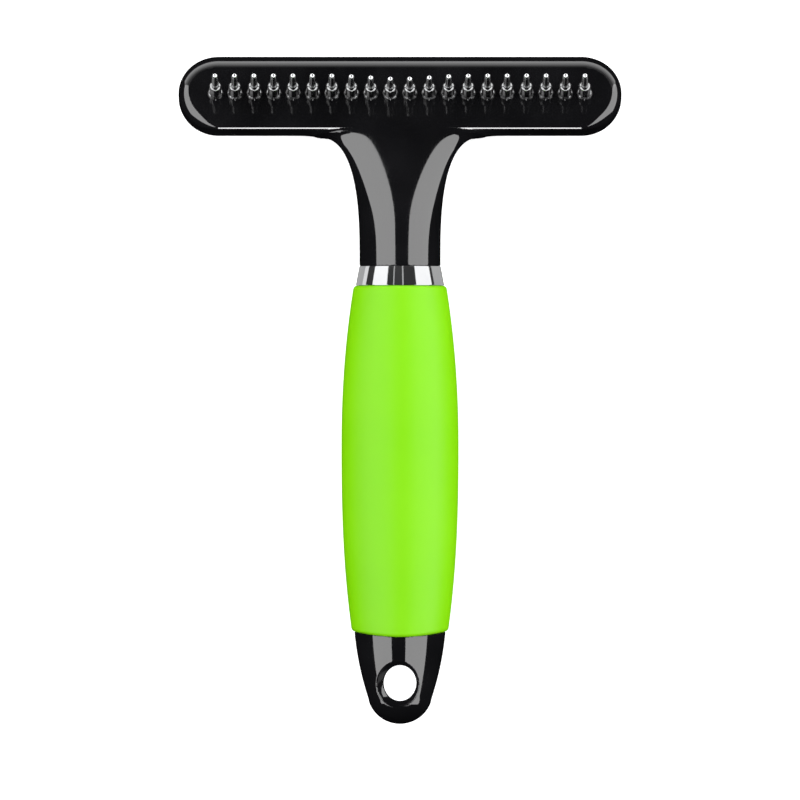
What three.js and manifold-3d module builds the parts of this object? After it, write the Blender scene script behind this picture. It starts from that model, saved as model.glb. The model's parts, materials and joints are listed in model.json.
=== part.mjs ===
// Undercoat rake for grooming pets: a glossy T-shaped head with twenty free-turning steel pins,
// a chromed ferrule, a soft oval grip over a stiff core, and an end cap with a hanging hole.
//
// Millimetres. The tool lies on its back: the handle runs along Y with the head at +Y, X is across
// it, and the pins point up (+Z). The origin is on the surface, under the middle of the tool.

import * as THREE from 'three';
import { mergeVertices } from 'three/addons/utils/BufferGeometryUtils.js';
import Module from 'manifold-3d';

const wasm = await Module();
wasm.setup();

const GAP = 0.3;                                   // left between pieces that touch

// Grip sleeve, widest in the middle. Its sides fall away towards each end by a power of the distance.
const GRIP = { top: 28.2, end: -65.2, belly: -15.1, topHalf: 12.5, bellyHalf: 15.82, endHalf: 13 };
const GRIP_POWER = { top: 2.1, end: 2.5 };
const GRIP_EDGE = 1;                               // rounding of both rims
const RIM_DIP = 1.35;                              // how far the lower rim dips, front and back
const RIM_REACH = 12;                              // how far from the rim the dip is felt

// Handle: every section is an ellipse about the handle's axis, flatter front to back. The grip's
// belly rests on the surface.
const AXIS_Z = 13.8;
const OVAL = AXIS_Z / GRIP.bellyHalf;              // depth over width of a section

// Stiff tube inside the ferrule and the grip.
const CORE = { top: 33.2, end: -64.9, half: 9.3, boreHalf: 6.9 };

const FERRULE = { top: 33.45, end: 28.5, topHalf: 10.93, endHalf: 11.9 };

// Cross bar: a stadium-shaped plate, tipped so that its face looks away from the grip.
const TILT = THREE.MathUtils.degToRad(18);
const BAR = { y: 79.68, halfLength: 59.9, half: 10.87, halfDepth: 4, backEdge: 2.1 };
const BAR_EDGE = { lower: 0.6, end: 2.9, upper: 4.2 };   // rounding of the face's edge, round the bar

// Neck: from the ferrule it bends back to meet the bar, and flares into it.
const NECK = {
  start: 33.75,
  half: 10.93,
  bendStart: 45,
  bendEnd: 69.5,
  stop: 74,                                        // inside the bar
  flareStart: 35,
  flareEnd: 68.4,
  flareWide: 12.39,
  flarePower: 2.7,                                 // how squarely the flare turns into the bar
  squareStart: 37.75,                              // from here its oval section turns squarer
  square: 2.6,                                     // section power where it meets the bar; 2 is an ellipse
  thin: 4.05,                                      // half depth there
};
const BEND_RADIUS = (NECK.bendEnd - NECK.bendStart) / Math.sin(TILT);

const TANG = { top: 34.75, end: 8, half: 6.5 };    // of the neck, inside the core
const PLUG = { top: -50, end: -68.5, half: 6.5 };  // of the end cap, inside the core

// End cap: a bullet that narrows to a round end, with the hanging hole through it.
const CAP = {
  top: -65.5,
  end: -90.17,
  half: 12.3,
  taper: 0.0874,                                   // first and second terms of its narrowing
  curve: 0.00668,
  tipY: -81.3,                                     // centre of the round end
  tipRadius: 8.87,
  roundFrom: -82.5,                                // between these the sides turn into the round end
  roundTo: -85,
  flatter: 0.12,                                   // how much thinner its oval gets towards the end
};
const HANG_HOLE = { y: -79.1, half: 4.4, halfLong: 4.9, lip: 1.3, proud: 3 };

// Pins, in the bar's own frame: u along the bar, v towards its top edge, w out of its face.
const PIN_COUNT = 20;
const PIN_PITCH = 5.25;
const PIN_V = -0.8;
const PIN_EASE = THREE.MathUtils.degToRad(3.7);    // the middle pins stand this much straighter up
const PIN_EASE_SPREAD = 11;
const PIN = { length: 15.5, tip: 0.75, root: 0.9, collar: 1.6, collarLong: 6.8, collarEdge: 0.35 };
const FLANGE = { half: 2.2, from: -3.45, to: -2.9 };   // keeps the pin in; measured from the face
const STUB = { half: 1, end: -4.7 };               // turns in the strip's seat
const BOSS = { half: 2.1, rise: 0.35, sunk: 1, bore: 1.8 };
const POCKET = { halfLength: 56.5, half: 7.4, top: 1.4 };
const RETAINER = { halfLength: 54, half: 6.2, top: 0.1, bottom: -1.6, bore: 1.25, floor: 0.5 };
const COVER = { top: -1.9, bottom: -3.95 };

const PAST = 1;                                    // how far a cut goes on past the wall
const ROUND = 32;                                  // sides of the handle's sections
const HOLE_ROUND = 24;
const PIN_ROUND = 10;
const CROWDING = { neck: 0.85, cap: 0.9 };         // powers that crowd rows towards the far end

const MATERIALS = {
  glossBlack: { color: 0x0b0b0d, roughness: 0.08, metalness: 0 },
  satinBlack: { color: 0x141416, roughness: 0.45, metalness: 0 },
  steel: { color: 0xb9bcc0, roughness: 0.15, metalness: 1 },
  chrome: { color: 0xe2e4e6, roughness: 0.05, metalness: 1 },
  greenGel: { color: 0x8ee61e, roughness: 0.45, metalness: 0 },
};

// ---- geometry helpers ----

function closed(geometry) {
  geometry.deleteAttribute('normal');
  geometry.deleteAttribute('uv');
  return mergeVertices(geometry, 1e-4);
}

function toSolid(geometry) {
  const shell = closed(geometry);
  const index = shell.index.array;
  const corners = [];
  for (let i = 0; i < index.length; i += 3) {
    const [a, b, c] = [index[i], index[i + 1], index[i + 2]];
    if (a !== b && b !== c && c !== a) corners.push(a, b, c);
  }
  const mesh = new wasm.Mesh({
    numProp: 3,
    vertProperties: Float32Array.from(shell.attributes.position.array),
    triVerts: Uint32Array.from(corners),
  });
  const solid = new wasm.Manifold(mesh);
  if (solid.volume() < 0) throw new Error('a solid is inside out');
  return solid;
}

function toGeometry(solid) {
  const mesh = solid.getMesh();
  const geometry = new THREE.BufferGeometry();
  geometry.setAttribute('position', new THREE.BufferAttribute(mesh.vertProperties, 3));
  geometry.setIndex(new THREE.BufferAttribute(mesh.triVerts, 1));
  geometry.computeVertexNormals();
  return geometry;
}

function reshape(geometry, move) {
  const position = geometry.attributes.position;
  const point = new THREE.Vector3();
  for (let i = 0; i < position.count; i++) {
    move(point.fromBufferAttribute(position, i));
    position.setXYZ(i, point.x, point.y, point.z);
  }
  return geometry;
}

function piece(name, solidOrGeometry, material) {
  const geometry = solidOrGeometry.isBufferGeometry ? solidOrGeometry : toGeometry(solidOrGeometry);
  const mesh = new THREE.Mesh(geometry, new THREE.MeshStandardMaterial(MATERIALS[material]));
  mesh.name = name;
  return mesh;
}

// A turned body about Y. The outline is a list of [radius, y] from low to high on its outside.
function turned(outline, sides) {
  return new THREE.LatheGeometry(outline.map(([r, y]) => new THREE.Vector2(r, y)), sides);
}

// Flattens a body turned about Y into the handle's oval, and lifts it to the handle's axis.
function onHandle(geometry) {
  return reshape(geometry, (p) => {
    p.z = AXIS_Z + p.z * OVAL;
  });
}

function ovalRod(half, from, to) {
  return onHandle(turned([[0, from], [half, from], [half, to], [0, to]], ROUND));
}

// A prism along w whose outline is a stadium in u and v.
function stadiumPrism(halfLength, half, bottom, top) {
  const outline = new THREE.Shape();
  const spine = halfLength - half;
  outline.absarc(spine, 0, half, -Math.PI / 2, Math.PI / 2);
  outline.absarc(-spine, 0, half, Math.PI / 2, 3 * Math.PI / 2);
  outline.closePath();
  const prism = new THREE.ExtrudeGeometry(outline, {
    depth: top - bottom, bevelEnabled: false, curveSegments: 10,
  });
  return prism.translate(0, 0, bottom);
}

// A rod along w.
function rod(half, bottom, top, sides) {
  return turned([[0, bottom], [half, bottom], [half, top], [0, top]], sides).rotateX(Math.PI / 2);
}

// ---- grip, ferrule and core ----

function gripHalf(y) {
  if (y > GRIP.belly) {
    const t = (y - GRIP.belly) / (GRIP.top - GRIP.belly);
    return GRIP.bellyHalf - (GRIP.bellyHalf - GRIP.topHalf) * t ** GRIP_POWER.top;
  }
  const t = (GRIP.belly - y) / (GRIP.belly - GRIP.end);
  return GRIP.bellyHalf - (GRIP.bellyHalf - GRIP.endHalf) * t ** GRIP_POWER.end;
}

// How far a point near the sleeve's lower rim is drawn down, for its place round the handle.
function rimDip(p, y) {
  const around = Math.atan2(p.z, p.x);
  const near = THREE.MathUtils.smoothstep(RIM_REACH - Math.abs(y - GRIP.end), 0, RIM_REACH);
  return RIM_DIP * Math.sin(around) ** 2 * near;
}

function makeGrip() {
  const inner = CORE.half + GAP;
  const outline = [[inner, GRIP.end]];
  for (const turn of [0, 45, 90]) {
    const a = THREE.MathUtils.degToRad(turn);
    const y = GRIP.end + GRIP_EDGE * (1 - Math.cos(a));
    outline.push([gripHalf(y) - GRIP_EDGE * (1 - Math.sin(a)), y]);
  }
  const steps = 16;
  for (let i = 1; i < steps; i++) {
    const y = THREE.MathUtils.lerp(GRIP.end + GRIP_EDGE, GRIP.top - GRIP_EDGE, i / steps);
    outline.push([gripHalf(y), y]);
  }
  for (const turn of [90, 45, 0]) {
    const a = THREE.MathUtils.degToRad(turn);
    const y = GRIP.top - GRIP_EDGE * (1 - Math.cos(a));
    outline.push([gripHalf(y) - GRIP_EDGE * (1 - Math.sin(a)), y]);
  }
  outline.push([inner, GRIP.top], [inner, GRIP.end]);
  const sleeve = reshape(turned(outline, ROUND), (p) => {
    p.y -= rimDip(p, p.y);
  });
  return onHandle(sleeve);
}

function makeFerrule() {
  const inner = CORE.half + GAP;
  const { top, end, topHalf, endHalf } = FERRULE;
  const outline = [[inner, end], [endHalf, end], [topHalf, top], [inner, top], [inner, end]];
  return onHandle(turned(outline, ROUND));
}

function makeCore() {
  const { top, end, half, boreHalf } = CORE;
  return toSolid(ovalRod(half, end, top)).subtract(toSolid(ovalRod(boreHalf, end - PAST, top + PAST)));
}

// ---- head ----

// Puts a point of the bar's own frame into the tool's frame.
const barFrame = new THREE.Group();
barFrame.rotation.x = -TILT;
const bendDrop = BEND_RADIUS * (1 - Math.cos(TILT));
const barEdgeY = BAR.y - BAR.half * Math.cos(TILT);
barFrame.position.set(0, BAR.y, AXIS_Z - bendDrop - (barEdgeY - NECK.bendEnd) * Math.tan(TILT)
  - BAR.half * Math.sin(TILT));
barFrame.updateMatrixWorld();

// A stadium plate whose face edge is rounded by a radius that changes round the bar.
function makeBar() {
  const unit = 1;                                  // bevel as first made, then set to the real radius
  const outline = new THREE.Shape();
  const spine = BAR.halfLength - BAR.half;
  outline.absarc(spine, 0, BAR.half, -Math.PI / 2, Math.PI / 2);
  outline.absarc(-spine, 0, BAR.half, Math.PI / 2, 3 * Math.PI / 2);
  outline.closePath();
  const plate = new THREE.ExtrudeGeometry(outline, {
    depth: unit, curveSegments: 14, bevelThickness: unit, bevelSize: unit, bevelOffset: -unit,
    bevelSegments: 4,
  });
  return reshape(plate, (p) => {
    const along = THREE.MathUtils.clamp(p.x, -spine, spine);
    const out = new THREE.Vector2(p.x - along, p.y);
    const inset = BAR.half - out.length();
    out.normalize();
    const front = p.z > unit / 2;
    const { lower, end, upper } = BAR_EDGE;
    const lean = (upper - lower) / 2 * out.y + ((upper + lower) / 2 - end) * out.y ** 2;
    const radius = front ? end + lean : BAR.backEdge;
    const outside = BAR.half - inset * radius;
    const rise = front ? p.z - unit : -p.z;        // 0 where the rounding starts, 1 on the face
    const depth = BAR.halfDepth - radius * (1 - rise);
    p.set(along + out.x * outside, out.y * outside, front ? depth : -depth);
  });
}

// Height of the neck's centre line, which bends back on an arc and goes on into the bar.
function neckCentre(y) {
  if (y <= NECK.bendStart) return AXIS_Z;
  if (y >= NECK.bendEnd) return AXIS_Z - bendDrop - (y - NECK.bendEnd) * Math.tan(TILT);
  return AXIS_Z - BEND_RADIUS + Math.sqrt(BEND_RADIUS ** 2 - (y - NECK.bendStart) ** 2);
}

function neckHalf(y) {
  const { half, flareStart, flareEnd, flareWide, flarePower } = NECK;
  const t = THREE.MathUtils.clamp((y - flareStart) / (flareEnd - flareStart), 0, 1);
  return half + flareWide * (1 - (1 - t ** flarePower) ** (1 / flarePower));
}

function makeNeck() {
  const rows = 16;
  const column = new THREE.CylinderGeometry(1, 1, 1, ROUND, rows);
  return reshape(column, (p) => {
    const y = THREE.MathUtils.lerp(NECK.start, NECK.stop, (p.y + 0.5) ** CROWDING.neck);
    const blend = THREE.MathUtils.smoothstep(y, NECK.squareStart, NECK.bendEnd);
    const power = 2 / THREE.MathUtils.lerp(2, NECK.square, blend);
    const depth = THREE.MathUtils.lerp(NECK.half * OVAL, NECK.thin, blend);
    p.x = neckHalf(y) * Math.sign(p.x) * Math.abs(p.x) ** power;
    p.z = neckCentre(y) + depth * Math.sign(p.z) * Math.abs(p.z) ** power;
    p.y = y;
  });
}

// The frame of one pin on the bar's face: its place along the bar and how far it is eased upright.
function pinFrame(index) {
  const u = (index - (PIN_COUNT - 1) / 2) * PIN_PITCH;
  const frame = new THREE.Object3D();
  frame.position.set(u, PIN_V, BAR.halfDepth);
  frame.rotation.x = PIN_EASE * Math.exp(-((u / PIN_EASE_SPREAD) ** 2));
  frame.updateMatrix();
  return frame;
}

// The same rod at every pin, as one solid in the bar's frame.
function atEveryPin(half, bottom, top) {
  const rods = [];
  for (let i = 0; i < PIN_COUNT; i++) {
    rods.push(toSolid(rod(half, bottom, top, PIN_ROUND).applyMatrix4(pinFrame(i).matrix)));
  }
  return rods.reduce((all, next) => all.add(next));
}

function inTool(geometry) {
  return geometry.applyMatrix4(barFrame.matrixWorld);
}

function makeHeadShell() {
  const body = toSolid(inTool(makeBar())).add(toSolid(makeNeck()));
  const tang = toSolid(ovalRod(TANG.half, TANG.end, TANG.top));
  const bosses = inTool(toGeometry(atEveryPin(BOSS.half, -BOSS.sunk, BOSS.rise)));
  const bores = inTool(toGeometry(atEveryPin(BOSS.bore, -BAR.halfDepth, BOSS.rise + PAST)));
  const pocket = stadiumPrism(POCKET.halfLength, POCKET.half, -BAR.halfDepth * 3, POCKET.top);
  return body.add(tang).add(toSolid(bosses)).subtract(toSolid(inTool(pocket)))
    .subtract(toSolid(bores));
}

function makeBackCover() {
  const halfLength = POCKET.halfLength - GAP;
  const half = POCKET.half - GAP;
  return stadiumPrism(halfLength, half, COVER.bottom, COVER.top);
}

function makeRetainer() {
  const { halfLength, half, bottom, top, bore, floor } = RETAINER;
  const strip = toSolid(stadiumPrism(halfLength, half, bottom, top));
  const deep = BAR.halfDepth - bottom - floor;     // blind seats
  return strip.subtract(atEveryPin(bore, -deep, 0));
}

// A pin turned about w: stub, flange inside the bar, collar through its bore, shaft and round tip.
function makePin() {
  const { length, tip, root, collar, collarLong, collarEdge } = PIN;
  const outline = [
    [0, STUB.end], [STUB.half, STUB.end], [STUB.half, FLANGE.from], [FLANGE.half, FLANGE.from],
    [FLANGE.half, FLANGE.to], [collar, FLANGE.to], [collar, collarLong - collarEdge],
    [collar - collarEdge, collarLong], [root, collarLong],
  ];
  for (const turn of [0, 30, 60]) {
    const a = THREE.MathUtils.degToRad(turn);
    outline.push([tip * Math.cos(a), length - tip + tip * Math.sin(a)]);
  }
  outline.push([0, length]);
  return turned(outline, PIN_ROUND).rotateX(Math.PI / 2);
}

// ---- end cap ----

function capHalf(y) {
  const s = CAP.top - y;
  const side = CAP.half - CAP.taper * s - CAP.curve * s ** 2;
  const tipSquared = Math.max(CAP.tipRadius ** 2 - (y - CAP.tipY) ** 2, 0);
  const rounded = THREE.MathUtils.smoothstep(-y, -CAP.roundFrom, -CAP.roundTo);
  return Math.sqrt(THREE.MathUtils.lerp(side ** 2, tipSquared, rounded));
}

// Height of the cap's surface above the handle's axis.
function capHeight(x, y) {
  const oval = OVAL * (1 - CAP.flatter * (CAP.top - y) / (CAP.top - CAP.end));
  return oval * Math.sqrt(Math.max(capHalf(y) ** 2 - x ** 2, 0));
}

function makeCapBody() {
  const column = new THREE.CylinderGeometry(1, 1, 1, ROUND, 18);
  return reshape(column, (p) => {
    const down = Math.sin((0.5 - p.y) * Math.PI / 2) ** CROWDING.cap;
    const y = THREE.MathUtils.lerp(CAP.top, CAP.end, down);
    const dip = rimDip(p, y + GAP) * (p.x ** 2 + p.z ** 2);
    p.set(capHalf(y) * p.x, y - dip, AXIS_Z + capHeight(0, y) * p.z);
  });
}

// The hanging hole with its rounded mouths, which follow the cap's surface front and back. It is
// turned as if that surface were flat, at a height of LEVEL, and then fitted to it.
function makeHangHole() {
  const LEVEL = 5;
  const { half, halfLong, lip, proud } = HANG_HOLE;
  const mouth = [[half, LEVEL - lip]];
  for (const turn of [30, 60, 90]) {
    const a = THREE.MathUtils.degToRad(turn);
    mouth.push([half + lip * (1 - Math.cos(a)), LEVEL - lip + lip * Math.sin(a)]);
  }
  mouth.push([half + lip, LEVEL + proud], [0, LEVEL + proud]);
  const outline = [...mouth.map(([r, w]) => [r, -w]).reverse(), ...mouth];
  const hole = turned(outline, HOLE_ROUND).rotateX(Math.PI / 2);
  hole.scale(1, halfLong / half, 1).translate(0, HANG_HOLE.y, 0);
  return reshape(hole, (p) => {
    p.z = AXIS_Z + Math.sign(p.z) * (capHeight(p.x, p.y) + Math.abs(p.z) - LEVEL);
  });
}

function makeEndCap() {
  const plug = toSolid(ovalRod(PLUG.half, PLUG.end, PLUG.top));
  return toSolid(makeCapBody()).add(plug).subtract(toSolid(makeHangHole()));
}

// ---- assembly ----

const rake = new THREE.Group();
rake.add(piece('head_shell', makeHeadShell(), 'glossBlack'));
rake.add(piece('ferrule_ring', makeFerrule(), 'chrome'));
rake.add(piece('handle_core', makeCore(), 'satinBlack'));
rake.add(piece('grip_sleeve', makeGrip(), 'greenGel'));
rake.add(piece('end_cap', makeEndCap(), 'glossBlack'));

barFrame.add(piece('head_back_cover', makeBackCover(), 'satinBlack'));
barFrame.add(piece('pin_retainer_strip', makeRetainer(), 'satinBlack'));
for (let i = 0; i < PIN_COUNT; i++) {
  const seat = pinFrame(i);
  seat.add(piece(`pin_${String(i + 1).padStart(2, '0')}`, makePin(), 'steel'));
  barFrame.add(seat);
}
rake.add(barFrame);

export default rake;
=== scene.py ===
import json
import math
from itertools import product

import bpy
import numpy as np
from mathutils import Matrix, Vector


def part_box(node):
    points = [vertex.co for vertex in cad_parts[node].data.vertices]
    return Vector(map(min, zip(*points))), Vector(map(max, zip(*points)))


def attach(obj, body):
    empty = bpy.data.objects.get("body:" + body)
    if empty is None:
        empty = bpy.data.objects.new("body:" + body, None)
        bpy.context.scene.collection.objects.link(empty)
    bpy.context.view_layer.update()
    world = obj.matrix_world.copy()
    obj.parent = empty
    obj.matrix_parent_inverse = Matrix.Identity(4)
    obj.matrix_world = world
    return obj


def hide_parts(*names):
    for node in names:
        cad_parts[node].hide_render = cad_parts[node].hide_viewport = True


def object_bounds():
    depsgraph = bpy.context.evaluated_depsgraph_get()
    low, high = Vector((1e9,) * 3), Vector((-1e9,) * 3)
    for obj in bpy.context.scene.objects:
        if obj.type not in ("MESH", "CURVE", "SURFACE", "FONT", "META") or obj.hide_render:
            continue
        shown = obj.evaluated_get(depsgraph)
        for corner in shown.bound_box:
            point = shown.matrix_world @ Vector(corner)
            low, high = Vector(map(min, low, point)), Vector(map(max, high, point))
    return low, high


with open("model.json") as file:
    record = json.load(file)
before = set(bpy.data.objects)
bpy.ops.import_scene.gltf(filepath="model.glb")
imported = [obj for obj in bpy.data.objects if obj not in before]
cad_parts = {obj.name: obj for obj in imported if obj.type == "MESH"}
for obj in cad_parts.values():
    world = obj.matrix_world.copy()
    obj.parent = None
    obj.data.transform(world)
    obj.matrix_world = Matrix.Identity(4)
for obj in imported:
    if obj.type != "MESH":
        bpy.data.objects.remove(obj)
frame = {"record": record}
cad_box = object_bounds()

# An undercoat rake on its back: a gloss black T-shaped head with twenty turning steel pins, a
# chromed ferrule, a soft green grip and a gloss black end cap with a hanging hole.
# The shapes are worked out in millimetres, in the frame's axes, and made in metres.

MM = 0.001
INSIDE = 0.9995                       # keeps fine surfaces just inside the faceted ones


def box_mm(node):
    """The lowest and highest corner of a CAD node, in millimetres."""
    low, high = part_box(node)
    return np.array(low) / MM, np.array(high) / MM


# ---- driving dimensions, from the frame ----

GRIP_LOW, GRIP_HIGH = box_mm("grip_sleeve")
FERRULE_HIGH = box_mm("ferrule_ring")[1]
CAP_LOW, CAP_HIGH = box_mm("end_cap")
HEAD_LOW, HEAD_HIGH = box_mm("head_shell")

AXIS_Z = (GRIP_LOW[2] + GRIP_HIGH[2]) / 2
OVAL = (GRIP_HIGH[2] - GRIP_LOW[2]) / (GRIP_HIGH[0] - GRIP_LOW[0])

joints = frame["record"]["behaviour"]["joints"]
PINS = [(j["child"], np.array(j["pos_m"]) / MM, np.array(j["axis"])) for j in joints]

TILT = math.radians(18)               # of the bar's face, away from the grip
BAR_HALF = 10.86
BAR_DEPTH = 4
BAR_LENGTH = HEAD_HIGH[0] - 0.01
BAR_EDGE = {"lower": 0.62, "end": 2.9, "upper": 4.2, "back": 2.2}
PIN_V = -0.8                          # the pins' row, below the bar's middle


def to_bar(p):
    """u along the bar, v towards its top edge and w out of its face, from its middle."""
    y = p[..., 1] - BAR_MIDDLE[1]
    z = p[..., 2] - BAR_MIDDLE[2]
    across = y * math.cos(TILT) - z * math.sin(TILT)
    out = y * math.sin(TILT) + z * math.cos(TILT)
    return p[..., 0], across, out


def from_bar(u, v, w):
    """The tool-frame point of a place on the bar."""
    up = Vector((0, math.cos(TILT), -math.sin(TILT)))
    out = Vector((0, math.sin(TILT), math.cos(TILT)))
    return Vector(BAR_MIDDLE) + Vector((u, 0, 0)) + v * up + w * out


# A pin's joint stands on the face, PIN_V below the bar's middle.
BAR_MIDDLE = np.array([
    0.0,
    PINS[0][1][1] - PIN_V * math.cos(TILT) - BAR_DEPTH * math.sin(TILT),
    PINS[0][1][2] + PIN_V * math.sin(TILT) - BAR_DEPTH * math.cos(TILT),
])


# ---- mesh helpers ----

def make_object(name, vertices, faces):
    """A mesh object from points in millimetres."""
    mesh = bpy.data.meshes.new(name)
    mesh.from_pydata(np.asarray(vertices, dtype=float) * MM, [], faces)
    mesh.update()
    mesh.shade_smooth()
    obj = bpy.data.objects.new(name, mesh)
    bpy.context.scene.collection.objects.link(obj)
    return obj


def finish_piece(obj, body, slot, *nodes):
    """Puts a piece on its body, in place of its CAD nodes. Its slot is not used."""
    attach(obj, body)
    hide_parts(*nodes)
    return obj


def lathe_faces(rows, sides, closed_rows):
    """Faces of a grid of rows by sides that closes round its sides, and round its rows if asked."""
    faces = []
    for r in range(rows if closed_rows else rows - 1):
        for s in range(sides):
            a, b = r * sides + s, r * sides + (s + 1) % sides
            up = (r + 1) % rows * sides
            faces.append((a, b, up + (s + 1) % sides, up + s))
    return faces


def capped_faces(rows, sides):
    """Faces of a grid of rows by sides that closes round its sides, with a cap at both ends."""
    faces = lathe_faces(rows, sides, closed_rows=False)
    faces.append(tuple(reversed(range(sides))))
    faces.append(tuple(range((rows - 1) * sides, rows * sides)))
    return faces


def crossing_points(value, axes, inside, step):
    """For each grid cell the sum and count of the surface's crossings of its edges."""
    cells = tuple(n - 1 for n in value.shape)
    total = np.zeros(cells + (3,))
    count = np.zeros(cells)
    base = np.stack(np.meshgrid(*[a[:-1] for a in axes], indexing="ij"), -1)

    def corner(array, offset):
        return array[tuple(slice(o, o + n) for o, n in zip(offset, cells))]

    for along in range(3):
        for first, second in product((0, 1), repeat=2):
            start = [first, second]
            start.insert(along, 0)
            end = list(start)
            end[along] = 1
            a, b = corner(value, start), corner(value, end)
            cut = corner(inside, start) != corner(inside, end)
            part = np.where(cut, a / np.where(cut, a - b, 1), 0)
            place = base + np.array(start) * step
            place[..., along] = base[..., along] + part * step
            total += place * cut[..., None]
            count += cut
    return total, count


def gradient(field, points, h=1e-3):
    out = np.empty_like(points)
    for i in range(3):
        shift = np.zeros(3)
        shift[i] = h
        out[:, i] = (field(points + shift) - field(points - shift)) / (2 * h)
    return out


SHARP_ANGLE, AGREE_ANGLE = math.radians(35), math.radians(30)


def unit_rows(vectors):
    return vectors / np.maximum(np.linalg.norm(vectors, axis=1, keepdims=True), 1e-9)


def surface_net(field, low, high, step):
    """Quads over the surface field = 0, negative inside, with their corners moved onto it."""
    low = np.array(low, float)
    counts = np.ceil((np.array(high) - low) / step).astype(int) + 1
    axes = [low[i] + step * np.arange(counts[i]) for i in range(3)]
    grid = np.stack(np.meshgrid(*axes, indexing="ij"), -1)
    value = field(grid.reshape(-1, 3)).reshape(counts)
    inside = value < 0
    total, count = crossing_points(value, axes, inside, step)
    used = count > 0
    number = np.full(used.shape, -1)
    number[used] = np.arange(used.sum())
    points = total[used] / count[used][:, None]
    for _ in range(4):
        slope = gradient(field, points)
        size = np.maximum((slope ** 2).sum(1), 1e-6)
        push = (field(points) / size)[:, None] * slope
        points -= np.clip(push, -step, step)
    faces = []
    for along in range(3):
        one, two = [(1, 2), (2, 0), (0, 1)][along]
        inner = [slice(1, -1)] * 3
        inner[along] = slice(0, counts[along] - 1)
        ahead = list(inner)
        ahead[along] = slice(1, counts[along])
        here, there = inside[tuple(inner)], inside[tuple(ahead)]
        cells = np.argwhere(here != there) + [0 if i == along else 1 for i in range(3)]
        leaving = here[here != there]
        step_one, step_two = np.eye(3, dtype=int)[one], np.eye(3, dtype=int)[two]
        ring = [cells - step_one - step_two, cells - step_two, cells, cells - step_one]
        quad = np.stack([number[tuple(c.T)] for c in ring], 1)
        faces.append(np.where(leaving[:, None], quad, quad[:, ::-1]))
    return points, np.concatenate(faces).tolist()


def shade_from(obj, field, near=0.02):
    """Sets each corner's normal from the field, on the faces that lie on it. The rest of the mesh,
    such as the wall of a cut, keeps its own normals."""
    mesh = obj.data
    mesh.set_sharp_from_angle(angle=SHARP_ANGLE)
    points = np.empty(len(mesh.vertices) * 3)
    mesh.vertices.foreach_get("co", points)
    points = points.reshape(-1, 3) / MM
    on_field = np.abs(field(points)) < near
    normals = unit_rows(gradient(field, points))
    own = np.empty(len(mesh.loops) * 3)
    mesh.corner_normals.foreach_get("vector", own)
    own = own.reshape(-1, 3)
    corner = np.empty(len(mesh.loops), dtype=np.int32)
    mesh.loops.foreach_get("vertex_index", corner)
    starts = np.empty(len(mesh.polygons), dtype=np.int32)
    mesh.polygons.foreach_get("loop_start", starts)
    face_on_field = np.minimum.reduceat(on_field[corner].astype(int), starts)
    sizes = np.diff(np.append(starts, len(corner)))
    whole = np.repeat(face_on_field, sizes).astype(bool)
    agrees = (own * normals[corner]).sum(1) > math.cos(AGREE_ANGLE)
    chosen = np.where((whole & agrees)[:, None], normals[corner], own)
    mesh.normals_split_custom_set(chosen.tolist())


def cut(obj, tool, operation):
    """Applies one boolean and removes the tool."""
    step = obj.modifiers.new("cut", "BOOLEAN")
    step.operation = operation
    step.solver = "MANIFOLD"
    step.object = tool
    settled = bpy.data.meshes.new_from_object(
        obj.evaluated_get(bpy.context.evaluated_depsgraph_get()))
    obj.modifiers.clear()
    old = obj.data
    obj.data = settled
    bpy.data.meshes.remove(old)
    bpy.data.objects.remove(tool)


def frame_on(axis):
    """A rotation that takes +Z to the axis and keeps +X."""
    z = Vector(axis).normalized()
    y = z.cross(Vector((1, 0, 0))).normalized()
    return Matrix((Vector((1, 0, 0)), y, z)).transposed()


def turned_points(profile, sides, origin, axis):
    """Points of a body turned about an axis, from a list of (radius, height)."""
    turn = frame_on(axis)
    points = []
    for radius, height in profile:
        for s in range(sides):
            a = 2 * math.pi * s / sides
            local = Vector((radius * math.cos(a), radius * math.sin(a), height))
            points.append(Vector(origin) + turn @ local)
    return points


def turned_solid(profile, sides, origin, axis):
    """Vertices and faces of a turned body, capped at both ends. Its profile runs up its outside."""
    return turned_points(profile, sides, origin, axis), capped_faces(len(profile), sides)


def join_solids(name, solids):
    """One object from several (vertices, faces)."""
    vertices, faces = [], []
    for points, polygons in solids:
        base = len(vertices)
        vertices.extend(points)
        faces.extend(tuple(base + i for i in polygon) for polygon in polygons)
    return make_object(name, vertices, faces)


def arc(centre, radius, start, end, steps):
    """Points of an arc in a profile; 0 degrees is outwards and 90 is up."""
    out = []
    for i in range(steps + 1):
        a = math.radians(start + (end - start) * i / steps)
        out.append((centre[0] + radius * math.cos(a), centre[1] + radius * math.sin(a)))
    return out


def smoothstep(x, low, high):
    t = np.clip((x - low) / (high - low), 0, 1)
    return t * t * (3 - 2 * t)


def smooth_max(a, b, blend):
    near = np.maximum(blend - np.abs(a - b), 0)
    return np.maximum(a, b) + near ** 2 / (4 * blend)


def as_distance(size, p, level=0):
    """Roughly how far a point is outside the surface size = level."""
    h = 5e-3
    slope = np.zeros(p.shape[:-1])
    for i in range(3):
        shift = np.zeros(3)
        shift[i] = h
        slope += ((size(p + shift) - size(p - shift)) / (2 * h)) ** 2
    return (size(p) - level) / np.sqrt(np.maximum(slope, 1e-6))


# ---- head shell ----

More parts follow.
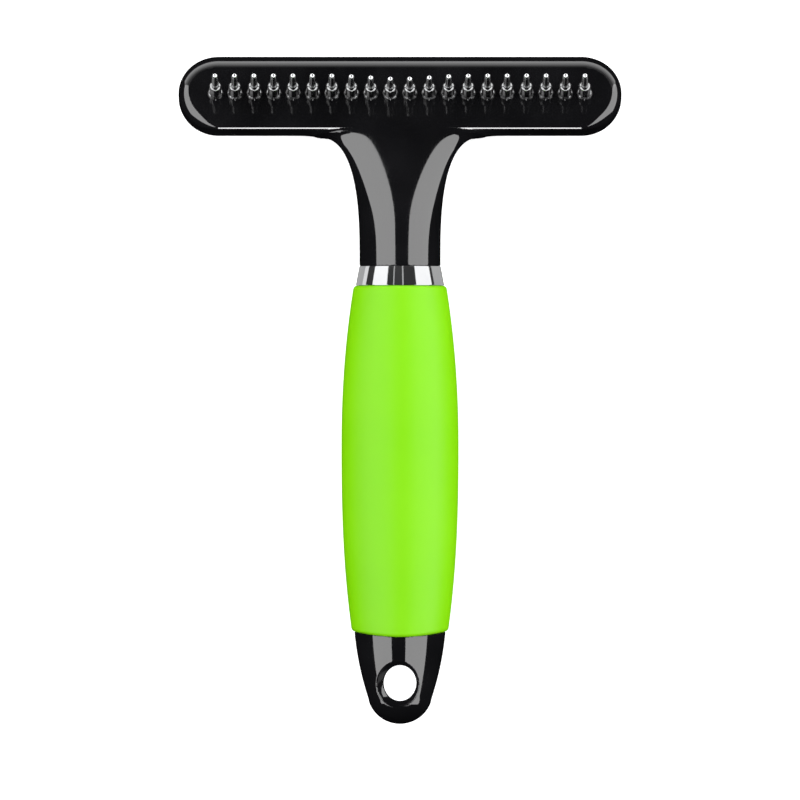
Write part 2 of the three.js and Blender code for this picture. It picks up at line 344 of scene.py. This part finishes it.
TOUCH = 0.04                          # left between the pieces of the handle, end to end
NECK_START = FERRULE_HIGH[1] + TOUCH
NECK_HALF = 10.93
BEND_START, BEND_END = 45.0, 69.5
BEND_RADIUS = (BEND_END - BEND_START) / math.sin(TILT)
FLARE_START, FLARE_END, FLARE_WIDE, FLARE_POWER = 35.0, 68.6, 12.39, 2.7
NECK_THIN = 4.05                      # depth behind its line where it meets the bar
THIN_START, SQUARE_START = 37.75, 45.0
FACE_HEIGHT = BAR_MIDDLE[2] + BAR_DEPTH / math.cos(TILT) + BAR_MIDDLE[1] * math.tan(TILT)
NECK_STOP = 80.0                      # inside the bar
RUN_OUT_WIDE, RUN_OUT_LONG = 4.0, 1.6   # of the flare past its end
SINK, SINK_FROM, SINK_FULL = 3.0, BEND_END + 1.3, BEND_END + 9   # of its front into the bar
SQUARER, SHOULDER_SQUARER = 0.5, 0.6  # than an oval: the neck near the bar, and its shoulders
SHOULDER_FROM, SHOULDER_FULL = 68.8, 71.5
SHOULDER_OUT = (0.5, 2.0)             # in front of the neck's middle
FACE_BLEND, SIDE_BLEND = 0.03, 1.3    # of the neck into the bar, at the face and at the side
BLEND_FROM, BLEND_FULL = 0.1, 1.3     # depths below the bar's face
FINE_STEP, QUICK_STEP = 0.42, 0.8


def bar_field(p):
    """Distance from the bar. The rounding of its front edge goes over slowly from that of its ends
    to the upper one, and late to the lower one."""
    u, v, w = to_bar(p)
    spine = BAR_LENGTH - BAR_HALF
    du = u - np.clip(u, -spine, spine)
    out = np.hypot(du, v)
    lean = v / np.maximum(out, 1e-6)
    lower, end, upper = BAR_EDGE["lower"], BAR_EDGE["end"], BAR_EDGE["upper"]
    front = end + np.where(v > 0, (upper - end) * lean ** 2, (lower - end) * lean ** 10)
    radius = np.where(w > 0, front, BAR_EDGE["back"])
    side = out - BAR_HALF + radius
    face = np.abs(w) - BAR_DEPTH + radius
    corner = np.hypot(np.maximum(side, 0), np.maximum(face, 0))
    return corner + np.minimum(np.maximum(side, face), 0) - radius


def neck_half(y):
    t = np.clip((y - FLARE_START) / (FLARE_END - FLARE_START), 0, 1)
    run_out = RUN_OUT_WIDE * smoothstep(y, FLARE_END, FLARE_END + RUN_OUT_LONG)
    return NECK_HALF + FLARE_WIDE * (1 - (1 - t ** FLARE_POWER) ** (1 / FLARE_POWER)) + run_out


def neck_back(y):
    """Height of the neck's back, which follows a line that bends on an arc and goes on."""
    on_arc = np.clip(y - BEND_START, 0, BEND_END - BEND_START)
    line = AXIS_Z - BEND_RADIUS + np.sqrt(BEND_RADIUS ** 2 - on_arc ** 2)
    line = line - np.maximum(y - BEND_END, 0) * math.tan(TILT)
    full = NECK_HALF * OVAL
    return line - full - (NECK_THIN - full) * smoothstep(y, THIN_START, BEND_END)


def neck_front(y):
    """Height of the neck's front, which runs on an arc into the plane of the bar's face."""
    top = AXIS_Z + NECK_HALF * OVAL
    slope = math.tan(TILT)
    long = (FACE_HEIGHT - NECK_START * slope - top) / (slope - math.tan(TILT / 2))
    radius = long / math.sin(TILT)
    on_arc = np.clip(y - NECK_START, 0, long)
    drop = radius - np.sqrt(radius ** 2 - on_arc ** 2)
    return top - drop - np.maximum(y - NECK_START - long, 0) * slope


def neck_size(p):
    """1 on the neck's surface, less inside. Its flare keeps square to the bar's face, and its front
    sinks into the bar."""
    y = p[..., 1]
    sunk = SINK * smoothstep(y, SINK_FROM, SINK_FULL)
    front, back = neck_front(y) - sunk, neck_back(y) + sunk / 2
    out = p[..., 2] - (front + back) / 2
    lean = math.sin(TILT) * math.cos(TILT) * smoothstep(y, BEND_START, BEND_END)
    shoulders = smoothstep(y, SHOULDER_FROM, SHOULDER_FULL) * smoothstep(out, *SHOULDER_OUT)
    squarer = SQUARER * smoothstep(y, SQUARE_START, BEND_END)
    power = 2 + squarer + SHOULDER_SQUARER * shoulders
    across = np.abs(p[..., 0] / neck_half(y - lean * out)) ** power
    deep = np.abs(2 * out / (front - back)) ** power
    return (across + deep + 1e-12) ** (1 / power)


def neck_field(p):
    start = NECK_START - p[..., 1]
    stop = p[..., 1] - NECK_STOP
    return np.maximum(np.maximum(as_distance(neck_size, p, 1), start), stop)


def head_field(p):
    bar, neck = bar_field(p), neck_field(p)
    deep = smoothstep(BAR_DEPTH - np.abs(to_bar(p)[2]), BLEND_FROM, BLEND_FULL)
    blend = FACE_BLEND + (SIDE_BLEND - FACE_BLEND) * deep
    near = np.maximum(blend - np.abs(bar - neck), 0) / blend
    return np.minimum(bar, neck) - near ** 2 * blend / 4


POCKET_HALF = 7.4
POCKET_LENGTH = 56.5
POCKET_TOP = 1.4
# The round seat that each pin stands in: radii of its rim and bore, its height and its foot.
SEAT_RIM, SEAT_BORE, SEAT_HEIGHT, SEAT_FOOT = 2.08, 1.72, 0.35, -0.8
SEAT_ROUND, BORE_BEVEL, SEAT_SIDES = 0.15, 0.08, 40
COVER_LOW, COVER_HIGH, COVER_EDGE, COVER_GAP = -3.95, -1.9, 0.35, 0.3


def stadium(half_length, half, sides=24):
    """Points round a stadium outline, anticlockwise."""
    spine = half_length - half
    points = []
    for centre, start in ((spine, -90), (-spine, 90)):
        for i in range(sides + 1):
            a = math.radians(start + 180 * i / sides)
            points.append((centre + half * math.cos(a), half * math.sin(a)))
    return points


def stadium_plate(profile, half_length, half):
    """A plate on the bar: each (inset, w) of its profile is a ring of the outline."""
    vertices = []
    for inset, w in profile:
        ring = stadium(half_length - inset, half - inset)
        vertices.extend(from_bar(u, v, w) for u, v in ring)
    return vertices, capped_faces(len(profile), len(vertices) // len(profile))


def make_head_shell():
    margin = 1.5
    low = (HEAD_LOW[0] - margin, NECK_START - margin, HEAD_LOW[2] - margin)
    high = (HEAD_HIGH[0] + margin, HEAD_HIGH[1] + margin, AXIS_Z + NECK_HALF * OVAL + margin)
    step = FINE_STEP
    points, faces = surface_net(head_field, low, high, step)
    shell = make_object("head_shell_fine", points, faces)
    pocket = stadium_plate([(0, -3 * BAR_DEPTH), (0, POCKET_TOP)], POCKET_LENGTH, POCKET_HALF)
    cut(shell, join_solids("pocket", [pocket]), "DIFFERENCE")
    rim = [(SEAT_RIM, SEAT_FOOT), (SEAT_RIM, 0.02), (SEAT_RIM - 0.04, 0.08),
           *arc((SEAT_RIM - 0.21, SEAT_HEIGHT - SEAT_ROUND), SEAT_ROUND, 0, 90, 4)]
    bosses = [turned_solid(rim, SEAT_SIDES, pos, axis) for _, pos, axis in PINS]
    cut(shell, join_solids("bosses", bosses), "UNION")
    mouth = SEAT_BORE + BORE_BEVEL
    bore = [(SEAT_BORE, -BAR_DEPTH), (SEAT_BORE, 0.25), (mouth, SEAT_HEIGHT + 0.01), (mouth, 1)]
    bores = [turned_solid(bore, SEAT_SIDES, pos, axis) for _, pos, axis in PINS]
    cut(shell, join_solids("bores", bores), "DIFFERENCE")
    shade_from(shell, head_field)
    return finish_piece(shell, "root", "gloss_black", "head_shell")


def make_back_cover():
    bevel = [(COVER_EDGE, 0), (COVER_EDGE * 0.3, COVER_EDGE * 0.3), (0, COVER_EDGE)]
    profile = [*((inset, COVER_LOW + rise) for inset, rise in bevel), (0, COVER_HIGH)]
    plate = stadium_plate(profile, POCKET_LENGTH - COVER_GAP, POCKET_HALF - COVER_GAP)
    cover = join_solids("back_cover_fine", [plate])
    cover.data.set_sharp_from_angle(angle=math.radians(30))
    return finish_piece(cover, "root", "satin_black", "head_back_cover")


# ---- pins ----

PIN_LONG, PIN_TIP, PIN_ROOT, PIN_COLLAR, COLLAR_LONG = 15.5, 0.75, 0.88, 1.6, 6.8
FLANGE, FLANGE_TOP, FLANGE_BACK, PIN_END = 2.1, -2.9, -3.45, -4.7   # inside the bar
SHOULDER, FOOT_LOW, FOOT_TOP, FOOT_RING, PIN_SIDES = 0.7, 0.44, 0.8, 0.1, 40


def pin_profile():
    flange = [(1.0, PIN_END), (1.0, FLANGE_BACK), (FLANGE, FLANGE_BACK), (FLANGE, FLANGE_TOP),
              (PIN_COLLAR, FLANGE_TOP)]
    shoulder = arc((PIN_COLLAR - SHOULDER, COLLAR_LONG - SHOULDER), SHOULDER, 0, 86, 9)
    shaft = [(PIN_ROOT, COLLAR_LONG + 0.01), (PIN_ROOT, COLLAR_LONG + 1.2),
             (PIN_TIP + 0.02, PIN_LONG - 2.5)]
    tip = arc((0, PIN_LONG - PIN_TIP), PIN_TIP, 0, 86, 10)
    foot = [(PIN_COLLAR, FOOT_LOW), (PIN_COLLAR + FOOT_RING, FOOT_LOW),
            *arc((PIN_COLLAR + 0.13, FOOT_LOW + FOOT_RING), FOOT_RING, -70, 80, 6),
            (PIN_COLLAR + 0.02, FOOT_TOP - 0.12), (PIN_COLLAR, FOOT_TOP)]
    return [*flange, *foot, (PIN_COLLAR, COLLAR_LONG - 1.0), *shoulder, *shaft, *tip]


def make_pins():
    profile = pin_profile()
    pins = []
    for name, pos, axis in PINS:
        pin = join_solids(f"{name}_turned", [turned_solid(profile, PIN_SIDES, pos, axis)])
        pin.data.set_sharp_from_angle(angle=math.radians(40))
        pins.append(finish_piece(pin, name, "pin_steel", name))
    return pins


# ---- grip and ferrule ----

GRIP_TOP, GRIP_END = GRIP_HIGH[1], GRIP_LOW[1] + 1.35
GRIP_BELLY = -15.1
GRIP_TOP_HALF, GRIP_BELLY_HALF, GRIP_END_HALF = 12.5, GRIP_HIGH[0] * INSIDE, 13.0
GRIP_POWER_TOP, GRIP_POWER_END = 2.1, 2.5
GRIP_EDGE, RIM_STEPS = 1.0, 8         # rounding of its two rims
RIM_DIP = GRIP_END - GRIP_LOW[1]      # of the lower rim, at the front and the back
DIP_REACH = 12.0                      # along the handle
CORE_GAP = 0.3
CORE_HALF = box_mm("handle_core")[1][0]
FERRULE_EDGE = 0.12


def grip_half(y):
    if y > GRIP_BELLY:
        t = (y - GRIP_BELLY) / (GRIP_TOP - GRIP_BELLY)
        return GRIP_BELLY_HALF - (GRIP_BELLY_HALF - GRIP_TOP_HALF) * t ** GRIP_POWER_TOP
    t = (GRIP_BELLY - y) / (GRIP_BELLY - GRIP_END)
    return GRIP_BELLY_HALF - (GRIP_BELLY_HALF - GRIP_END_HALF) * t ** GRIP_POWER_END


def oval_ring(profile, sides, dip=0.0):
    """Points of a closed profile of (half width, y) taken round the handle's oval. The end at the
    grip's lower rim dips front and back."""
    points = []
    for half, y in profile:
        near = smoothstep(DIP_REACH - abs(y - GRIP_END), 0, DIP_REACH)
        for s in range(sides):
            a = 2 * math.pi * s / sides
            x = half * math.cos(a)
            z = AXIS_Z + half * math.sin(a) * OVAL
            points.append((x, y - dip * math.sin(a) ** 2 * near, z))
    return points


def make_grip():
    edge = GRIP_EDGE
    inner = CORE_HALF + CORE_GAP
    outline = [(inner, GRIP_END)]
    rim = [math.radians(90 * i / RIM_STEPS) for i in range(RIM_STEPS + 1)]
    for a in rim:
        y = GRIP_END + edge * (1 - math.cos(a))
        outline.append((grip_half(y) - edge * (1 - math.sin(a)), y))
    rows = 70
    for i in range(1, rows):
        y = GRIP_END + edge + (GRIP_TOP - GRIP_END - 2 * edge) * i / rows
        outline.append((grip_half(y), y))
    for a in reversed(rim):
        y = GRIP_TOP - edge * (1 - math.cos(a))
        outline.append((grip_half(y) - edge * (1 - math.sin(a)), y))
    outline.append((inner, GRIP_TOP))
    sides = 144
    faces = lathe_faces(len(outline), sides, closed_rows=True)
    points = oval_ring(outline, sides, dip=RIM_DIP)
    grip = make_object("grip_sleeve_fine", points, [f[::-1] for f in faces])
    grip.data.set_sharp_from_angle(angle=math.radians(60))
    return finish_piece(grip, "root", "soft_green", "grip_sleeve")


def make_ferrule():
    edge = FERRULE_EDGE
    top, end = FERRULE_HIGH[1], GRIP_TOP + TOUCH
    top_half, end_half = NECK_HALF, FERRULE_HIGH[0] * INSIDE
    inner = CORE_HALF + CORE_GAP
    outline = [(inner, end), (end_half - edge, end), (end_half - edge * 0.3, end + edge * 0.3),
               (end_half, end + edge)]
    outline += [(top_half, top - edge), (top_half - edge * 0.3, top - edge * 0.3),
                (top_half - edge, top), (inner, top)]
    sides = 160
    faces = lathe_faces(len(outline), sides, closed_rows=True)
    ring = make_object("ferrule_ring_fine", oval_ring(outline, sides), [f[::-1] for f in faces])
    ring.data.set_sharp_from_angle(angle=math.radians(30))
    return finish_piece(ring, "root", "chrome_ring", "ferrule_ring")


# ---- end cap ----

CAP_TOP = GRIP_END - TOUCH
CAP_END = CAP_LOW[1]
CAP_HALF = CAP_HIGH[0] * INSIDE
TIP_RADIUS = 8.87
TIP_Y = CAP_END + TIP_RADIUS
CAP_TAPER, CAP_CURVE, CAP_FLATTER = 0.0874, 0.00668, 0.12
TIP_BLEND = (82.5, 85.0)              # below the middle, where its sides go over into the tip
HOLE_Y, HOLE_HALF, HOLE_LONG = -79.1, 4.4, 4.9
# The hole's bevel is wider towards -X and -Y.
BEVEL, BEVEL_ACROSS, BEVEL_ALONG, BEVEL_EDGE = 1.3, 0.6, 0.3, 0.2
BODY_SHARE, WALL_SHARE = 0.6, 0.8     # of the cap's surface and the hole's wall in its slope
CAP_FINE_STEP, CAP_QUICK_STEP = 0.3, 0.6


def cap_body(p):
    """Negative inside the cap, as a squared size that goes on smoothly past its round tip."""
    y = p[..., 1]
    s = CAP_TOP - y
    side = np.maximum(CAP_HALF - CAP_TAPER * s - CAP_CURVE * s ** 2, 0) ** 2
    tip = TIP_RADIUS ** 2 - (y - TIP_Y) ** 2
    half2 = side + (tip - side) * smoothstep(-y, *TIP_BLEND)
    oval = OVAL * (1 - CAP_FLATTER * s / (CAP_TOP - CAP_END))
    return p[..., 0] ** 2 + ((p[..., 2] - AXIS_Z) / oval) ** 2 - half2


def hole_size(p):
    return np.hypot(p[..., 0] / HOLE_HALF, (p[..., 1] - HOLE_Y) / HOLE_LONG) - 1


def cap_field(p):
    dip = RIM_DIP * smoothstep(DIP_REACH - (CAP_TOP - p[..., 1]), 0, DIP_REACH)
    round_it = np.hypot(p[..., 0], (p[..., 2] - AXIS_Z) / OVAL)
    front = ((p[..., 2] - AXIS_Z) / OVAL / np.maximum(round_it, 1e-6)) ** 2
    rim = p[..., 1] - CAP_TOP + dip * front
    body = as_distance(cap_body, p)
    wall = -as_distance(hole_size, p)
    across, along = p[..., 0], p[..., 1] - HOLE_Y
    away = np.maximum(np.hypot(across, along), HOLE_HALF / 2)
    reach = BEVEL - (BEVEL_ACROSS * across + BEVEL_ALONG * along) / away
    bevel = BODY_SHARE * body + WALL_SHARE * (wall + reach)
    drilled = smooth_max(smooth_max(body, bevel, BEVEL_EDGE), wall, BEVEL_EDGE)
    return np.maximum(drilled, rim)


def make_end_cap():
    margin = 1.2
    low = (-CAP_HALF - margin, CAP_END - margin, AXIS_Z - CAP_HALF * OVAL - margin)
    high = (CAP_HALF + margin, CAP_TOP + margin, AXIS_Z + CAP_HALF * OVAL + margin)
    step = CAP_FINE_STEP
    points, faces = surface_net(cap_field, low, high, step)
    cap = make_object("end_cap_fine", points, faces)
    shade_from(cap, cap_field)
    return finish_piece(cap, "root", "gloss_black", "end_cap")


# ---- materials ----

class Nodes:
    """A new material with a Principled shader, and short calls that add nodes to it."""

    def __init__(self, name, **sockets):
        self.material = bpy.data.materials.new(name)
        self.material.use_nodes = True
        self.tree = self.material.node_tree
        self.shader = self.tree.nodes["Principled BSDF"]
        for socket, value in sockets.items():
            self.shader.inputs[socket.replace("_", " ")].default_value = value
        self.place = self.add("ShaderNodeTexCoord").outputs["Object"]

    def add(self, kind, **settings):
        node = self.tree.nodes.new(kind)
        for name, value in settings.items():
            setattr(node, name, value)
        return node

    def link(self, source, target):
        self.tree.links.new(source, target)

    def stretched(self, scale, rotation=(0, 0, 0)):
        node = self.add("ShaderNodeMapping")
        node.inputs["Scale"].default_value = scale
        node.inputs["Rotation"].default_value = rotation
        self.link(self.place, node.inputs["Vector"])
        return node.outputs["Vector"]

    def noise(self, scale, detail, place=None):
        node = self.add("ShaderNodeTexNoise")
        node.inputs["Scale"].default_value = scale
        node.inputs["Detail"].default_value = detail
        self.link(place or self.place, node.inputs["Vector"])
        return node.outputs["Fac"]

    def spread(self, value, low, high, start=0.0, end=1.0):
        node = self.add("ShaderNodeMapRange")
        for socket, number in (("From Min", start), ("From Max", end), ("To Min", low),
                               ("To Max", high)):
            node.inputs[socket].default_value = number
        self.link(value, node.inputs["Value"])
        return node.outputs["Result"]

    def combine(self, operation, a, b):
        node = self.add("ShaderNodeMath", operation=operation)
        self.link(a, node.inputs[0])
        if isinstance(b, (int, float)):
            node.inputs[1].default_value = b
        else:
            self.link(b, node.inputs[1])
        return node.outputs[0]

    def height(self, axis, start):
        """How far the surface is along an axis, in metres from the start."""
        node = self.add("ShaderNodeVectorMath", operation="DOT_PRODUCT")
        self.link(self.place, node.inputs[0])
        node.inputs[1].default_value = axis
        return self.combine("SUBTRACT", node.outputs["Value"], start)

    def colours(self, value, *stops):
        ramp = self.add("ShaderNodeValToRGB")
        elements = ramp.color_ramp.elements
        elements[0].position, elements[0].color = stops[0][0], (*stops[0][1], 1)
        elements[1].position, elements[1].color = stops[-1][0], (*stops[-1][1], 1)
        for position, colour in stops[1:-1]:
            elements.new(position).color = (*colour, 1)
        self.link(value, ramp.inputs["Fac"])
        self.link(ramp.outputs["Color"], self.shader.inputs["Base Color"])

    def rough(self, value):
        self.link(value, self.shader.inputs["Roughness"])

    def bump(self, *heights):
        """Each height is (value, strength, distance in metres)."""
        last = None
        for value, strength, distance in heights:
            node = self.add("ShaderNodeBump")
            node.inputs["Strength"].default_value = strength
            node.inputs["Distance"].default_value = distance
            self.link(value, node.inputs["Height"])
            if last:
                self.link(last, node.inputs["Normal"])
            last = node.outputs["Normal"]
        self.link(last, self.shader.inputs["Normal"])


def gloss_black():
    m = Nodes("gloss_black", IOR=1.85)
    smears = m.noise(60, 3.0)
    fine = m.noise(2600, 2.0, m.stretched((1, 0.06, 1), (0, 0, 0.5)))
    hazy = m.combine("MULTIPLY", smears, fine)
    m.rough(m.spread(hazy, 0.035, 0.11, 0.1, 0.5))
    m.colours(smears, (0.3, (0.0035, 0.0035, 0.004)), (0.7, (0.006, 0.006, 0.0068)))
    m.bump((m.noise(45, 1.0), 0.03, 0.0002), (fine, 0.02, 0.00001))
    return m.material


def satin_black():
    m = Nodes("satin_black", IOR=1.5)
    grain = m.noise(1900, 4.0)
    blotch = m.noise(90, 3.0)
    m.rough(m.spread(blotch, 0.38, 0.55, 0.3, 0.7))
    m.colours(blotch, (0.3, (0.010, 0.010, 0.011)), (0.7, (0.018, 0.018, 0.019)))
    m.bump((grain, 0.35, 0.00006))
    return m.material


# Levels of the pins' base colour, which are painted light: painted shade at the foot and up the
# collar, and a painted highlight at the tip.
FOOT_PAINTED_LIGHT, COLLAR_PAINTED_SHADE, TIP_PAINTED_HIGHLIGHT = (0.08, 0.42), 0.42, 0.97
COLLAR_FROM, COLLAR_FULL = 1.5 * MM, 4.5 * MM   # heights above the bar's face
TIP_FROM, TIP_FULL = 12.5 * MM, 14.2 * MM


def pin_steel():
    """Painted light in the base colour: a lighter tip that stands in for its highlight, painted
    shade down the collar, and a dark foot with patchy painted highlights.
    """
    m = Nodes("pin_steel", Metallic=1.0)
    rings = m.noise(900, 3.0, m.stretched((0.04, 1, 3)))
    spots = m.noise(400, 3.0)
    highlight_patches = m.noise(900, 1.0)
    pos, axis = PINS[0][1:]
    height = m.height(axis, float(pos @ axis) * MM)
    # Painted shade at the foot, broken by patchy painted highlights; painted shade up the collar; a
    # lighter tip as a painted highlight.
    foot = m.spread(highlight_patches, *FOOT_PAINTED_LIGHT, 0.42, 0.6)
    collar = m.spread(height, 0.0, COLLAR_PAINTED_SHADE, COLLAR_FROM, COLLAR_FULL)
    tip = m.spread(height, 0.0, TIP_PAINTED_HIGHLIGHT, TIP_FROM, TIP_FULL)
    tone = m.combine("MAXIMUM", m.combine("MAXIMUM", foot, collar), tip)
    tone = m.combine("MULTIPLY", tone, m.spread(spots, 0.88, 1.0, 0.3, 0.7))
    m.rough(m.spread(rings, 0.1, 0.24, 0.3, 0.7))
    m.colours(tone, (0.0, (0, 0, 0)), (1.0, (0.98, 0.99, 1.0)))
    m.bump((rings, 0.12, 0.00002))
    return m.material


def chrome_ring():
    m = Nodes("chrome_ring", Metallic=1.0)
    smears = m.noise(130, 4.0)
    rings = m.noise(2400, 2.0, m.stretched((0.03, 1, 0.03)))
    m.rough(m.spread(smears, 0.03, 0.1, 0.3, 0.8))
    m.colours(smears, (0.3, (0.80, 0.81, 0.83)), (0.7, (0.88, 0.885, 0.89)))
    m.bump((rings, 0.06, 0.00001))
    return m.material


def soft_green():
    m = Nodes("soft_green", IOR=1.45)
    cloud = m.noise(35, 3.0)
    pores = m.noise(2300, 5.0)
    ripple = m.noise(70, 2.0)
    m.rough(m.spread(cloud, 0.38, 0.46, 0.3, 0.7))
    m.colours(cloud, (0.25, (0.162, 0.505, 0.001)), (0.5, (0.172, 0.52, 0.001)),
              (0.75, (0.182, 0.535, 0.002)))
    m.bump((ripple, 0.04, 0.0006), (pores, 0.22, 0.00005))
    m.shader.inputs["Specular IOR Level"].default_value = 0.28
    m.shader.inputs["Subsurface Weight"].default_value = 0.12
    m.shader.inputs["Subsurface Radius"].default_value = (0.5, 1.0, 0.1)
    m.shader.inputs["Subsurface Scale"].default_value = 0.003
    return m.material


def dress(obj, material, group=None):
    """Gives a piece its one material, and the light group it belongs to."""
    obj.data.materials.clear()
    obj.data.materials.append(material)
    if group:
        LIGHT_GROUPS[group].objects.link(obj)


# ---- studio ----

VIEW_WIDTH = 0.216                    # metres across the picture
LENS = 800
SENSOR = 36
VIEW_CENTRE = (0.0, -0.0027)


def make_camera():
    data = bpy.data.cameras.new("camera")
    data.lens = LENS
    data.sensor_width = SENSOR
    data.clip_end = 50
    camera = bpy.data.objects.new("camera", data)
    bpy.context.scene.collection.objects.link(camera)
    distance = VIEW_WIDTH * LENS / SENSOR
    camera.location = (*VIEW_CENTRE, AXIS_Z * MM + distance)
    bpy.context.scene.camera = camera


def softbox(name, place, facing, size, radiance):
    """A rectangular light at a place in metres, as bright as radiance to look at. Its width runs
    level and at right angles to where it faces, as near as that can be along Y otherwise."""
    data = bpy.data.lights.new(name, "AREA")
    data.shape = "RECTANGLE"
    data.size, data.size_y = size
    data.energy = radiance * math.pi * size[0] * size[1]
    light = bpy.data.objects.new(name, data)
    bpy.context.scene.collection.objects.link(light)
    back = -Vector(facing).normalized()
    wide = Vector((0, 1, 0)).cross(back)
    wide = wide.normalized() if wide.length > 1e-6 else Vector((1, 0, 0))
    light.location = place
    light.rotation_euler = Matrix((wide, back.cross(wide), back)).transposed().to_euler()
    light.visible_camera = False
    return light


def link_light(light, only=(), others=()):
    """Lets a light reach only some groups of pieces, or all but some."""
    groups = bpy.data.collections.new(f"{light.name}_groups")
    light.light_linking.receiver_collection = groups
    for group in only or others:
        groups.children.link(LIGHT_GROUPS[group])
    for child in groups.collection_children:
        child.light_linking.link_state = "INCLUDE" if only else "EXCLUDE"


def side_box(name, inner, outer, low, high, radiance, distance=1.1):
    """A softbox seen from the tool between two angles off the camera's axis to the right, and
    between two angles towards the head."""
    middle = math.radians((inner + outer) / 2)
    half = math.radians(abs(outer - inner) / 2)
    ends = [distance * math.tan(math.radians(a)) for a in (low, high)]
    place = (distance * math.sin(middle), sum(ends) / 2, distance * math.cos(middle))
    facing = (-math.sin(middle), 0, -math.cos(middle))
    size = (2 * distance * math.tan(half), ends[1] - ends[0])
    return softbox(name, place, facing, size, radiance)


# Softboxes on both sides, for the pieces that they are named for: two angles off the camera's axis
# to the right, two angles towards the head, and how bright. The fills reach every piece.
HEAD_BOXES = [("left_box", -11.6, -63, -12, 42, 2.8), ("right_box", 20.7, 79, -12, 42, 2.8)]
GRIP_BOXES = [("grip_left", -11.6, -63, -40, 42, 2.6), ("grip_right", 20.7, 79, -40, 42, 2.6)]
CAP_BOXES = [("cap_left", -19.1, -66.9, -36, 42, 2.8), ("cap_right", 12.5, 66.6, -40, 42, 2.8)]
FILL_BOXES = [("left_fill", -63, -89, -45, 45, 2.9), ("right_fill", 63, 89, -45, 45, 2.9)]
PIN_BOXES = [("pins_left", -26, -89, -50, 50, 1.9), ("pins_line", -16.5, -18.5, -50, 50, 2.2),
             ("pins_right", 26, 89, -50, 50, 1.9)]

# Softboxes beyond the two ends: place, where it faces, size and how bright.
TAIL_STRIP = ("tail_strip", (0, -1.0, 0.66), (0, 1, -0.66), (0.16, 1.5), 11.0)
PIN_ENDS = [("pins_tail", (0, -1.1, 0.6), (0, 1, -0.55), (1.2, 1.0), 1.2),
            ("pins_head", (0, 1.1, 0.3), (0, -1, -0.3), (1.2, 0.5), 1.2)]

# Panels of the wall beyond the head, from the table up: lowest, highest and how bright.
HEAD_WALL = [(0.02, 0.42, 2.2), (0.42, 0.7, 1.5), (0.7, 1.0, 0.8), (1.0, 1.4, 0.25)]
WALL_PLACE, WALL_WIDTH = 1.2, 2.8

# What the ring mirrors: between two angles off the camera's axis, to the right, and how bright.
RING_BOXES = [
    (-164, -112, 0.42), (-112, -95, 0.8), (-94, -71, 0.04), (-71, -31, 1.12), (-30, -16, 0.04),
    (-16, -13.5, 0.5), (-13, 5.5, 0.05), (5.5, 8.5, 0.5), (9, 38, 0.04), (39, 86, 1.12),
    (87, 95, 0.04), (96, 160, 0.42),
]
GROUP_NAMES = ("head", "cap", "grip", "pins", "ring")
LIGHT_GROUPS = {name: bpy.data.collections.new(name) for name in GROUP_NAMES}


def make_world():
    """A white background, which neither lights the pieces nor shows in them."""
    world = bpy.data.worlds.new("world")
    bpy.context.scene.world = world
    world.use_nodes = True
    background = world.node_tree.nodes["Background"]
    background.inputs["Color"].default_value = (1, 1, 1, 1)
    background.inputs["Strength"].default_value = 1.0
    world.cycles_visibility.glossy = False
    world.cycles_visibility.diffuse = False


def make_lights():
    for box in HEAD_BOXES:
        link_light(side_box(*box), others=("cap", "grip", "pins", "ring"))
    for box in GRIP_BOXES:
        link_light(side_box(*box), only=("grip",))
    for box in CAP_BOXES:
        link_light(side_box(*box), only=("cap",))
    for box in FILL_BOXES:
        side_box(*box).visible_glossy = False
    for i, (low, high, radiance) in enumerate(HEAD_WALL):
        place = (0, WALL_PLACE, (low + high) / 2)
        wall = softbox(f"head_wall_{i}", place, (0, -1, 0), (WALL_WIDTH, high - low), radiance)
        link_light(wall, others=("cap", "pins"))
    link_light(softbox(*TAIL_STRIP), only=("head",))
    for box in PIN_BOXES:
        link_light(side_box(*box), only=("pins",))
    for box in PIN_ENDS:
        link_light(softbox(*box), only=("pins",))
    for inner, outer, radiance in RING_BOXES:
        light = side_box(f"ring_{inner}", inner, outer, -45, 45, radiance)
        light.data.use_shadow = False
        link_light(light, only=("ring",))


FLOOR_REACH, FLOOR_GAP = 3.0, 0.0001  # metres


def make_floor():
    mesh = bpy.data.meshes.new("floor")
    corners = [(-1, -1), (1, -1), (1, 1), (-1, 1)]
    mesh.from_pydata([(x * FLOOR_REACH, y * FLOOR_REACH, 0) for x, y in corners], [], [(0, 1, 2, 3)])
    floor = bpy.data.objects.new("floor", mesh)
    floor.location.z = cad_box[0][2] - FLOOR_GAP
    bpy.context.scene.collection.objects.link(floor)
    floor.visible_glossy = False
    floor.visible_diffuse = False
    m = Nodes("floor", Roughness=0.9)
    m.shader.inputs["Base Color"].default_value = (0.75, 0.75, 0.75, 1)
    m.shader.inputs["Emission Color"].default_value = (1, 1, 1, 1)
    m.shader.inputs["Emission Strength"].default_value = 0.8
    dress(floor, m.material)


# ---- assembly ----

make_camera()
make_world()
make_lights()
make_floor()

black, satin, steel = gloss_black(), satin_black(), pin_steel()
dress(make_head_shell(), black, "head")
dress(make_end_cap(), black, "cap")
dress(make_back_cover(), satin)
dress(make_ferrule(), chrome_ring(), "ring")
dress(make_grip(), soft_green(), "grip")
for pin in make_pins():
    dress(pin, steel, "pins")
for node in ("handle_core", "pin_retainer_strip"):
    for slot in bpy.data.objects[node].material_slots:
        slot.material = satin

bpy.context.scene.view_settings.view_transform = "Standard"
